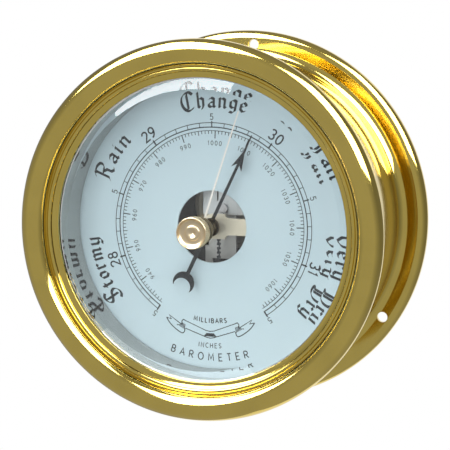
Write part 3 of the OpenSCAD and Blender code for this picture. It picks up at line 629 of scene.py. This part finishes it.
scale = Layer()
SWEEP = np.linspace(inch_angle(LOW_INCH), inch_angle(HIGH_INCH), 300)
for radius, width in ((BAND_INNER_R, 0.42), (BAND_OUTER_R, 0.3)):
    scale.stroke(polar(radius, SWEEP), width)
for tenth in range(0, 41):
    angle = inch_angle(LOW_INCH + tenth / 10)
    whole, half, end = (tenth + 5) % 10 == 0, tenth % 5 == 0, tenth in (0, 40)
    outer = (LONG_TICK_R if half else BAND_OUTER_R) + (0.1 if end else 0)
    width = 0.6 if whole or end else 0.45 if half else 0.26
    scale.stroke([polar(BAND_INNER_R - 0.1, angle), polar(outer, angle)], width)
scale.stroke(polar(COMB_R, SWEEP), 0.24)
for mb in range(932, 1067):
    angle = mb_angle(mb)
    inner = TEN_R if mb % 10 == 0 else FIVE_R if mb % 5 == 0 else ONE_R
    scale.stroke([polar(inner, angle), polar(COMB_R, angle)], 0.4 if mb % 10 == 0 else 0.28)
print("scale strokes:", len(scale.faces))


# %% [markdown]
# ## Numbers and small capitals
# Each sign is a few lines and arcs in a box one unit high. A word is set letter by letter round
# the dial, with its tops outwards or, at the foot of the dial, inwards.

# %% Signs
def ring_part(cx, cy, rx, ry, start=0, end=360):
    """Part of an ellipse: (cx + rx cos a, cy + ry sin a), a in degrees."""
    a = np.radians(np.linspace(start, end, max(6, int(abs(end - start) / 15))))
    return np.stack([cx + rx * np.cos(a), cy + ry * np.sin(a)], axis=1)


SIGNS = {
    "0": (0.62, [ring_part(0.28, 0.5, 0.26, 0.5)]),
    "1": (0.36, [[(0.04, 0.8), (0.18, 1.0), (0.18, 0.0)]]),
    "2": (0.60, [joined(ring_part(0.27, 0.73, 0.25, 0.27, 170, -30), [(0.0, 0.0), (0.56, 0.0)])]),
    "3": (0.60, [ring_part(0.25, 0.75, 0.23, 0.25, 150, -90), ring_part(0.25, 0.26, 0.27, 0.26, 90, -150)]),
    "4": (0.62, [[(0.42, 0.0), (0.42, 1.0), (0.0, 0.3), (0.58, 0.3)]]),
    "5": (0.60, [joined([(0.5, 1.0), (0.1, 1.0), (0.07, 0.56)], ring_part(0.25, 0.31, 0.28, 0.31, 125, -150))]),
    "6": (0.60, [ring_part(0.28, 0.29, 0.25, 0.29), ring_part(0.53, 0.29, 0.5, 0.71, 180, 95)]),
    "7": (0.58, [[(0.0, 1.0), (0.54, 1.0), (0.18, 0.0)]]),
    "8": (0.60, [ring_part(0.27, 0.76, 0.2, 0.24), ring_part(0.27, 0.27, 0.26, 0.27)]),
    "9": (0.60, [ring_part(0.26, 0.71, 0.25, 0.29), ring_part(0.01, 0.71, 0.5, 0.71, 0, -85)]),
    "A": (0.72, [[(0.0, 0.0), (0.34, 1.0), (0.68, 0.0)], [(0.12, 0.35), (0.56, 0.35)]]),
    "B": (0.62, [[(0.0, 0.0), (0.0, 1.0)],
                 joined([(0.0, 1.0)], ring_part(0.26, 0.76, 0.22, 0.24, 90, -90), [(0.0, 0.52)]),
                 joined([(0.0, 0.52)], ring_part(0.28, 0.26, 0.26, 0.26, 90, -90), [(0.0, 0.0)])]),
    "C": (0.68, [ring_part(0.36, 0.5, 0.36, 0.5, 50, 310)]),
    "E": (0.56, [[(0.5, 1.0), (0.0, 1.0), (0.0, 0.0), (0.5, 0.0)], [(0.0, 0.52), (0.42, 0.52)]]),
    "H": (0.70, [[(0.0, 0.0), (0.0, 1.0)], [(0.58, 0.0), (0.58, 1.0)], [(0.0, 0.52), (0.58, 0.52)]]),
    "I": (0.20, [[(0.06, 0.0), (0.06, 1.0)]]),
    "L": (0.52, [[(0.0, 1.0), (0.0, 0.0), (0.44, 0.0)]]),
    "M": (0.86, [[(0.0, 0.0), (0.06, 1.0), (0.38, 0.25), (0.70, 1.0), (0.76, 0.0)]]),
    "N": (0.70, [[(0.0, 0.0), (0.0, 1.0), (0.58, 0.0), (0.58, 1.0)]]),
    "O": (0.84, [ring_part(0.38, 0.5, 0.38, 0.5)]),
    "R": (0.64, [[(0.0, 0.0), (0.0, 1.0)],
                 joined([(0.0, 1.0)], ring_part(0.28, 0.74, 0.24, 0.26, 90, -90), [(0.0, 0.48)]),
                 [(0.26, 0.48), (0.56, 0.0)]]),
    "S": (0.58, [curve_through([(0.48, 0.86), (0.28, 1.0), (0.06, 0.82), (0.12, 0.6),
                                (0.38, 0.44), (0.5, 0.22), (0.28, 0.0), (0.02, 0.12)])]),
    "T": (0.62, [[(0.0, 1.0), (0.58, 1.0)], [(0.29, 1.0), (0.29, 0.0)]]),
}


def set_word(layer, word, signs, middle, radius, height, pen,
             gap=0.16, inward=False, nib=None, arc_degrees=None):
    """Sets a word round the dial: x runs along the circle of that radius, y is the way out (or in).

    middle is in degrees from the top. With arc_degrees the word is stretched to fill that angle, or,
    where no broad pen is given, its letters are spaced out instead.
    """
    widths = [signs[c][0] if c != " " else 0.45 for c in word]
    stretch = 1.0
    if arc_degrees and nib:
        natural = sum(widths) + gap * (len(word) - 1)
        stretch = math.radians(arc_degrees) * radius / (natural * height)
    elif arc_degrees:
        gap = (math.radians(arc_degrees) * radius / height - sum(widths)) / (len(word) - 1)
    start = -(sum(widths) + gap * (len(word) - 1)) / 2
    side = -1 if inward else 1
    for sign, width in zip(word, widths):
        for line in [] if sign == " " else signs[sign][1]:
            line = np.asarray(line, float)
            x = (start + line[:, 0]) * height * stretch
            angle = middle + side * np.degrees(x / radius)
            flat = polar(1.0, angle) * (radius + side * line[:, 1] * height)[:, None]
            layer.stroke(flat, pen, None if nib is None else (nib[0] - angle.mean(), nib[1]))
        start += width + gap


# %% Numbers on the dial
FOOT_MIDDLE = 180.8
numbers = Layer()
for mb in range(940, 1061, 10):
    set_word(numbers, str(mb), SIGNS, float(mb_angle(mb)), radius=31.7, height=1.65, pen=0.24, gap=0.38)
for inches in (28, 29, 30, 31):
    set_word(numbers, str(inches), SIGNS, float(inch_angle(inches)), radius=41.9, height=3.9, pen=0.62, gap=0.2)
for half in (27.5, 28.5, 29.5, 30.5, 31.5):
    set_word(numbers, "5", SIGNS, float(inch_angle(half)), radius=41.5, height=2.2, pen=0.32)
FOOT_WORDS = {   # radius, height, pen, width in degrees
    "MILLIBARS": (37.8, 1.75, 0.36, 21), "INCHES": (47.7, 1.8, 0.28, 11.5), "BAROMETER": (52.8, 2.8, 0.42, 36)}
for word, (radius, height, pen, width) in FOOT_WORDS.items():
    set_word(numbers, word, SIGNS, FOOT_MIDDLE, radius, height, pen, inward=True, arc_degrees=width)
print("number strokes:", len(numbers.faces))

# %% [markdown]
# ## A ribbon under the scale
# Dials of this kind carry a folded ribbon between the two unit names, an old printer's ornament. It
# is drawn as half an outline, which is then mirrored: the band, the folded corner, the forked tail
# and a few hatching strokes where the cloth turns under.

# %% Ribbon
RIBBON_MIDDLE = -0.6
HALF_RIBBON = [
    ([(0.0, -41.2), (1.6, -41.0), (10.4, -37.5)], 0.32),
    ([(10.4, -37.5), (11.2, -37.1), (11.8, -37.7), (11.9, -39.2)], 0.36),
    ([(0.0, -43.9), (1.6, -43.6), (3.0, -43.1), (10.3, -40.6)], 0.34),
    ([(12.3, -38.9), (14.7, -37.3), (17.1, -35.6), (16.3, -37.2), (18.3, -36.7)], 0.32),
    (curve_through([(18.3, -36.7), (16.7, -39.0), (14.3, -41.1),
                    (11.9, -42.5), (10.9, -42.1), (10.5, -40.7)]), 0.4),
]
ribbon_print = Layer()
for side in (-1, 1):
    for line, width in HALF_RIBBON:
        ribbon_print.stroke(np.asarray(line, float) * (side, 1) + (RIBBON_MIDDLE, 0), width)
    for k in range(7):
        x = 10.5 + 0.5 * k
        hatch = [(x, -38.4 - 0.28 * abs(k - 2)), (x + 0.35, -41.0 + 0.30 * k)]
        ribbon_print.stroke(np.asarray(hatch) * (side, 1) + (RIBBON_MIDDLE, 0), 0.36)
for k in range(4):
    half, y = 2.6 - 0.32 * k, -43.1 + 0.34 * k
    ribbon_print.stroke([(RIBBON_MIDDLE - half, y), (RIBBON_MIDDLE + half, y)], 0.34)
print("ribbon strokes:", len(ribbon_print.faces))

# %% [markdown]
# ## Weather words
# The five words are blackletter. Every letter is a path for a broad pen held at 40 degrees.

# %% Blackletter
PEN_ANGLE, PEN_W, HAIRLINE, LETTER_H = 40, 0.95, 0.26, 3.9
LETTERS = {
    "a": (0.52, [[(0.08, 0.78), (0.24, 0.95), (0.40, 0.82), (0.40, 0.12), (0.50, 0.02)],
                 [(0.40, 0.55), (0.18, 0.46), (0.08, 0.32), (0.09, 0.12), (0.22, 0.02), (0.40, 0.18)]]),
    "e": (0.48, [[(0.10, 0.46), (0.38, 0.62), (0.38, 0.78), (0.24, 0.95),
                  (0.08, 0.76), (0.08, 0.22), (0.24, 0.02), (0.42, 0.16)]]),
    "g": (0.52, [[(0.40, 0.82), (0.24, 0.95), (0.08, 0.76), (0.08, 0.32), (0.22, 0.14), (0.40, 0.30)],
                 [(0.28, 0.96), (0.42, 0.86), (0.42, -0.10), (0.28, -0.32), (0.06, -0.24)]]),
    "h": (0.54, [[(0.02, 1.42), (0.10, 1.50), (0.10, 0.12), (0.20, 0.02)],
                 [(0.10, 0.78), (0.28, 0.95), (0.42, 0.80), (0.42, 0.10), (0.30, -0.18)]]),
    "i": (0.26, [[(0.00, 0.84), (0.10, 0.95), (0.10, 0.12), (0.20, 0.02)], [(0.07, 1.22), (0.13, 1.30)]]),
    "m": (0.86, [[(0.00, 0.84), (0.10, 0.95), (0.10, 0.10), (0.16, 0.04)],
                 [(0.10, 0.78), (0.28, 0.95), (0.40, 0.84), (0.40, 0.10), (0.46, 0.04)],
                 [(0.40, 0.78), (0.58, 0.95), (0.70, 0.84), (0.70, 0.12), (0.80, 0.02)]]),
    "n": (0.56, [[(0.00, 0.84), (0.10, 0.95), (0.10, 0.10), (0.16, 0.04)],
                 [(0.10, 0.78), (0.28, 0.95), (0.42, 0.82), (0.42, 0.12), (0.52, 0.02)]]),
    "o": (0.50, [[(0.25, 0.97), (0.08, 0.78), (0.08, 0.22), (0.25, 0.02),
                  (0.42, 0.22), (0.42, 0.78), (0.25, 0.97)]]),
    "r": (0.42, [[(0.00, 0.84), (0.10, 0.95), (0.10, 0.12), (0.20, 0.02)],
                 [(0.10, 0.76), (0.26, 0.95), (0.38, 0.84)]]),
    "t": (0.40, [[(0.14, 1.20), (0.14, 0.16), (0.24, 0.02), (0.36, 0.12)], [(0.00, 0.86), (0.32, 0.90)]]),
    "y": (0.54, [[(0.00, 0.84), (0.08, 0.95), (0.08, 0.22), (0.22, 0.04), (0.42, 0.20)],
                 [(0.34, 0.92), (0.42, 0.98), (0.42, -0.10), (0.28, -0.34), (0.04, -0.28)]]),
    "C": (0.86, [curve_through([(0.80, 1.22), (0.56, 1.45), (0.20, 1.24), (0.06, 0.78),
                                (0.16, 0.28), (0.46, 0.02), (0.82, 0.22)], 4),
                 [(0.50, 1.42), (0.44, 1.20), (0.44, 0.16)]]),
    "D": (0.92, [curve_through([(0.02, 1.20), (0.22, 1.46), (0.56, 1.34), (0.82, 0.98),
                                (0.80, 0.38), (0.52, 0.04), (0.16, 0.02), (0.02, 0.16)], 4),
                 [(0.30, 1.36), (0.22, 1.10), (0.22, 0.14)], [(0.40, 1.20), (0.40, 0.16)]]),
    "F": (0.80, [curve_through([(0.00, 1.18), (0.18, 1.46), (0.44, 1.36), (0.70, 1.36), (0.86, 1.50)], 4),
                 [(0.34, 1.36), (0.24, 1.16), (0.24, 0.30), (0.12, 0.04), (-0.04, 0.10)],
                 [(0.44, 1.24), (0.44, 0.16), (0.30, 0.0)], [(0.10, 0.74), (0.66, 0.80)]]),
    "R": (0.90, [[(0.02, 1.20), (0.18, 1.44), (0.26, 1.30), (0.26, 0.14), (0.12, 0.0)],
                 curve_through([(0.22, 1.40), (0.48, 1.46), (0.72, 1.28), (0.68, 0.92), (0.30, 0.76)], 4),
                 [(0.44, 0.78), (0.60, 0.56), (0.62, 0.18), (0.76, 0.02), (0.88, 0.12)]]),
    "S": (0.88, [curve_through([(0.80, 1.26), (0.56, 1.46), (0.22, 1.32), (0.10, 1.02), (0.34, 0.80),
                                (0.66, 0.66), (0.78, 0.36), (0.56, 0.06), (0.24, 0.0), (0.02, 0.18)], 4),
                 [(0.46, 1.40), (0.40, 1.22), (0.40, 0.20)]]),
    "V": (0.88, [[(0.00, 1.18), (0.14, 1.44), (0.24, 1.28), (0.22, 0.36), (0.42, 0.02), (0.60, 0.14)],
                 curve_through([(0.42, 0.02), (0.72, 0.36), (0.78, 0.92), (0.66, 1.30), (0.46, 1.46)], 4)]),
}
CAPITAL_RISE, CAPITAL_DROP = 1.3, 0.2   # capitals are made taller than drawn above, and set lower
for capital in "CDFRSV":
    width, lines = LETTERS[capital]
    lines = [np.asarray(line, float) * (1, CAPITAL_RISE) - (0, CAPITAL_DROP) for line in lines]
    LETTERS[capital] = (width, lines)

words = Layer()
WORDS = {   # middle in degrees from the top, radius of the foot, width in degrees
    "Stormy": (-112.5, 48.2, 31.0), "Rain": (-57.8, 46.6, 23.8), "Change": (1.1, 46.2, 32.4),
    "Fair": (60.0, 47.0, 18.0), "Very Dry": (111.5, 47.0, 41.0)}
for word, (middle, foot, width) in WORDS.items():
    set_word(words, word, LETTERS, middle, foot, LETTER_H, PEN_W,
             nib=(PEN_ANGLE, HAIRLINE), arc_degrees=width)
print("letter strokes:", len(words.faces))

# %% The printed layer
INK_T = 0.02
for name, layer in {"dial_scale": scale, "dial_numbers": numbers,
                    "dial_ribbon": ribbon_print, "dial_words": words}.items():
    hand_over(layer.piece(name, DIAL_FACE + INK_T), "case", "dial_print", INK)

# %% [markdown]
# ## The chain
# A fusee chain like a bicycle chain pulls the arbor round. Its plates are figures of eight, one and
# two side by side in turn, with a rivet through every eye. One plate outline is worked out once and
# copied down the chain.

# %% Chain
CHAIN_LOW, CHAIN_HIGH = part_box("chain")
CHAIN_X = (CHAIN_LOW[0] + CHAIN_HIGH[0]) / 2 / MM
CHAIN_H = -(CHAIN_LOW[1] + CHAIN_HIGH[1]) / 2 / MM
CHAIN_TOP = CHAIN_HIGH[2] / MM - 0.4   # the middle of the first eye
LINK_PITCH, EYE_R, WAIST_R = 1.7, 0.62, 0.24
RIVET_R, RIVET_HALF, LEAN = 0.22, 0.46, 0.16
ROUNDED = 0.28   # the share of a plate's half length over which its ends are rounded
LINKS = int((CHAIN_TOP - CHAIN_LOW[2] / MM) / LINK_PITCH)


def plate_outline(steps=24):
    """Figure of eight between two eyes.

    The half width is waist + (eye - waist) cos^2(pi x / pitch), and the ends are rounded as by an
    ellipse.
    """
    t = np.linspace(0, 1, steps)
    along = -EYE_R * 0.9 + t * (LINK_PITCH + 1.8 * EYE_R)
    half = WAIST_R + (EYE_R - WAIST_R) * np.cos(np.pi * np.clip(along / LINK_PITCH, 0, 1)) ** 2
    beyond = np.clip(np.abs(t - 0.5) * 2 - (1 - ROUNDED), 0, 1)
    half *= np.sqrt(np.clip(1 - (beyond / ROUNDED) ** 2, 0.02, 1))
    return np.vstack([np.column_stack([half, along]), np.column_stack([-half, along])[::-1]])


def slab(outline, low, high):
    """A closed outline (x, z) thickened between two heights: points, and faces as corner numbers."""
    n = len(outline)
    rims = [np.column_stack([outline[:, 0], np.full(n, -h), outline[:, 1]]) for h in (low, high)]
    sides = grid_quads(2, n, False, True).tolist()
    return np.vstack(rims), sides + [list(range(n)), list(range(2 * n - 1, n - 1, -1))]


def round_outline(radius, steps=16):
    """Corners of a circle: radius (cos a, sin a)."""
    a = np.linspace(0, 2 * np.pi, steps, endpoint=False)
    return radius * np.stack([np.cos(a), np.sin(a)], axis=1)


chain_points, chain_faces, count = [], [], 0
for k in range(LINKS):
    eye = (CHAIN_X + (LEAN if k % 2 else -LEAN), CHAIN_TOP - k * LINK_PITCH)
    plates = ((-0.12, 0.12),) if k % 2 else ((-0.40, -0.16), (0.16, 0.40))
    forms = [(plate_outline(), low, high) for low, high in plates]
    forms.append((round_outline(RIVET_R), -RIVET_HALF, RIVET_HALF))
    for outline, low, high in forms:
        points, faces = slab(outline * (1, -1) + eye, CHAIN_H + low, CHAIN_H + high)
        chain_points.append(points)
        chain_faces += [[c + count for c in face] for face in faces]
        count += len(points)
chain = make_mesh("fusee_chain", np.vstack(chain_points) * MM, chain_faces)
hand_over(chain, "case", "dark_steel", DARK_STEEL, "chain")
print("chain links:", LINKS)

# %% [markdown]
# ## Finishes of the CAD nodes that stay
# Flat and hidden pieces keep their CAD shape. Each gets one of the finishes above.

# %% Materials on CAD nodes
FINISH_OF_SLOT = {
    "case_brass": CASE_BRASS, "brass": BRASS, "knob_brass": KNOB_BRASS, "pale_brass": PALE_BRASS,
    "steel": STEEL, "spring_steel": SPRING_STEEL, "dark_steel": DARK_STEEL, "dial_print": DIAL_PAINT,
    "black_lacquer": BLACK, "mirror": MIRROR, "glass": GLASS, "black_rubber": RUBBER}
FINISH_OF_NODE = {
    "main_lever": LEVER_STEEL, "set_hand": HAND_WHITE, "set_hand_hub": HUB_BRONZE, "set_spindle": HUB_BRONZE}
for part in frame["record"]["subparts"]:
    node = frame["nodes"].get(part["node"])
    if node is None:
        continue
    for spot in node.material_slots:
        spot.material = FINISH_OF_NODE.get(part["node"], FINISH_OF_SLOT[part["material_slot"]])
print("CAD nodes finished:", len(frame["nodes"]))

# %% [markdown]
# ## Stage, light and camera
# The photo has a plain white ground, and the floor lies below the picture. Floor and world show as
# white to the camera and through the glass, while the light that they give stays at a plain level.
# Metal shows the grey room further down instead, and the white world only where that room is open.
# The window lamps stand where the real bezel mirrors its windows.

# %% Floor and world
def seen_at_once(tree, *rays):
    """1 for the kinds of ray named, as long as no diffuse bounce came before, and 0 for all others."""
    path = add(tree, "ShaderNodeLightPath")
    seen = path.outputs["Is %s Ray" % rays[0]]
    for ray in rays[1:]:
        seen = math_node(tree, "MAXIMUM", seen, path.outputs["Is %s Ray" % ray])
    return math_node(tree, "MULTIPLY", seen, math_node(tree, "LESS_THAN", path.outputs["Diffuse Depth"], 0.5))


def white_to_camera(name, colour, strength):
    """A surface of that colour for the light, and plain white to the camera and through the glass."""
    material = bpy.data.materials.new(name)
    material.use_nodes = True
    tree = material.node_tree
    shader = tree.nodes["Principled BSDF"]
    shader.inputs["Base Color"].default_value = (*colour, 1)
    shader.inputs["Roughness"].default_value = 0.8
    seen = seen_at_once(tree, "Camera", "Transmission")
    glow = add(tree, "ShaderNodeEmission", in_Strength=strength)
    mix = add(tree, "ShaderNodeMixShader", [(seen, 0), (shader.outputs[0], 1), (glow.outputs[0], 2)])
    tree.links.new(mix.outputs[0], tree.nodes["Material Output"].inputs["Surface"])
    return material


FLOOR_Z, FLOOR_HALF = -0.18, 6.0
corners = [(x * FLOOR_HALF, y * FLOOR_HALF, FLOOR_Z) for x, y in ((-1, -1), (1, -1), (1, 1), (-1, 1))]
floor = make_mesh("floor", corners, [(0, 1, 2, 3)])
floor.data.materials.append(white_to_camera("pale_floor", (0.8, 0.8, 0.8), 1.0))
floor.visible_glossy = False   # metal shows the grey room below as well

world = bpy.data.worlds.new("studio")
bpy.context.scene.world = world
world.cycles.sampling_method = "NONE"   # so that the grey room hides it from metal and glass
world.use_nodes = True
tree = world.node_tree
sky = tree.nodes["Background"]
sky.inputs["Color"].default_value = (0.94, 0.97, 1.0, 1)
sky.inputs["Strength"].default_value = 0.48
white = add(tree, "ShaderNodeBackground", in_Color=(1, 1, 1, 1), in_Strength=1.0)
seen = seen_at_once(tree, "Camera", "Transmission", "Glossy")
mix = add(tree, "ShaderNodeMixShader", [(seen, 0), (sky.outputs[0], 1), (white.outputs[0], 2)])
tree.links.new(mix.outputs[0], tree.nodes["World Output"].inputs["Surface"])
print("floor at", FLOOR_Z, "m, world", world.name)


# %% Lamps
def softbox(name, azimuth, elevation, distance, size, power, lights=True, mirrors=True):
    """A rectangular lamp aimed at the middle: degrees, metres and watts.

    Azimuth runs from the front to the right. size is (width, height). lights says whether it lights
    paint, mirrors whether polished metal and glass show it.
    """
    lamp = bpy.data.lights.new(name, "AREA")
    lamp.shape, lamp.size, lamp.size_y = "RECTANGLE", size[0], size[1]
    lamp.energy = power
    holder = bpy.data.objects.new(name, lamp)
    bpy.context.scene.collection.objects.link(holder)
    a, e = math.radians(azimuth), math.radians(elevation)
    back = np.array([math.cos(e) * math.sin(a), -math.cos(e) * math.cos(a), math.sin(e)])
    side = np.cross((0, 0, 1), back)
    side /= np.linalg.norm(side)
    turned_axes = np.stack([side, np.cross(back, side), back], axis=1)
    holder.matrix_world = Matrix([[*r, p] for r, p in zip(turned_axes, back * distance)] + [[0, 0, 0, 1]])
    holder.visible_diffuse, holder.visible_transmission, holder.visible_glossy = lights, lights, mirrors


softbox("main", -17, 15, 1.5, (0.6, 0.6), 3.0, mirrors=False)
softbox("grazing", -58, 14, 1.6, (0.25, 0.3), 1.1, mirrors=False)
softbox("top", 10, 66, 1.4, (0.9, 0.35), 2, mirrors=False)
softbox("right_fill", 62, 13, 1.5, (0.4, 1.1), 1.6, mirrors=False)
softbox("window_left", -42, 50, 1.0, (0.85, 0.85), 26, lights=False)
softbox("window_right", 62, 42, 1.0, (0.8, 0.9), 20, lights=False)
print("lamps:", [lamp.name for lamp in bpy.data.lights])

# %% [markdown]
# ## A grey room
# A grey dome stands round the object. Only polished metal and glass show it, as the real bezel
# shows the dim room that it was photographed in, and it keeps the black hands black. The dome is a
# surface of azimuth and elevation that runs over the top. Low behind the object it is open, and
# the white backdrop shows. Slow noise makes lighter and darker places, as furniture and walls do.

# %% Room
ROOM_R, ROOM_COLUMNS, ROOM_ROWS = 2.2, 49, 33
azimuth = np.radians(np.linspace(-150, 150, ROOM_COLUMNS))
elevation = np.radians(np.linspace(-88, 140, ROOM_ROWS))
az, el = np.meshgrid(azimuth, elevation, indexing="ij")
points = ROOM_R * np.stack([np.sin(az) * np.cos(el), -np.cos(az) * np.cos(el), np.sin(el)], axis=-1)
room = make_mesh("grey_room", points.reshape(-1, 3), grid_quads(ROOM_COLUMNS, ROOM_ROWS, False, False))
room_paint = bpy.data.materials.new("room_grey")
room_paint.use_nodes = True
tree = room_paint.node_tree
place = add(tree, "ShaderNodeTexCoord")
patches = add(tree, "ShaderNodeTexNoise", [(place.outputs["Object"], "Vector")], in_Scale=0.2, in_Detail=0.0)
tones = add(tree, "ShaderNodeMapRange", [(patches.outputs["Fac"], "Value")])
for socket, value in {"From Min": 0.36, "From Max": 0.64, "To Min": 0.2, "To Max": 0.43}.items():
    tones.inputs[socket].default_value = value
dim = add(tree, "ShaderNodeEmission", [(tones.outputs["Result"], "Strength")], in_Color=(1, 1, 1, 1))
tree.links.new(dim.outputs[0], tree.nodes["Material Output"].inputs["Surface"])
room.data.materials.append(room_paint)
room.visible_camera = room.visible_diffuse = room.visible_transmission = room.visible_shadow = False
print("room faces:", len(room.data.polygons))

# %% [markdown]
# ## The camera
# The camera looks from the right and a little from above, through a long lens, as the photo does.
# Its place and axes are given in metres; the right-hand axis follows from up and back.

# %% Camera
CAMERA_PLACE = np.array([0.1972, -0.5856, 0.0698])
CAMERA_BACK = np.array([0.3310, -0.9362, 0.1189])
CAMERA_UP = np.array([-0.0412, 0.1116, 0.9929])
lens = bpy.data.cameras.new("camera")
lens.lens, lens.sensor_width = 120, 36
lens.clip_start, lens.clip_end = 0.01, 50
camera = bpy.data.objects.new("camera", lens)
bpy.context.scene.collection.objects.link(camera)
back = CAMERA_BACK / np.linalg.norm(CAMERA_BACK)
right = np.cross(CAMERA_UP, back)
right /= np.linalg.norm(right)
axes = np.stack([right, np.cross(back, right), back], axis=1)
camera.matrix_world = Matrix([[*row, place] for row, place in zip(axes, CAMERA_PLACE)] + [[0, 0, 0, 1]])
bpy.context.scene.camera = camera
bpy.context.scene.view_settings.view_transform = "Standard"
print("camera at", CAMERA_PLACE, "m, lens", lens.lens, "mm")

# %% The end
import json
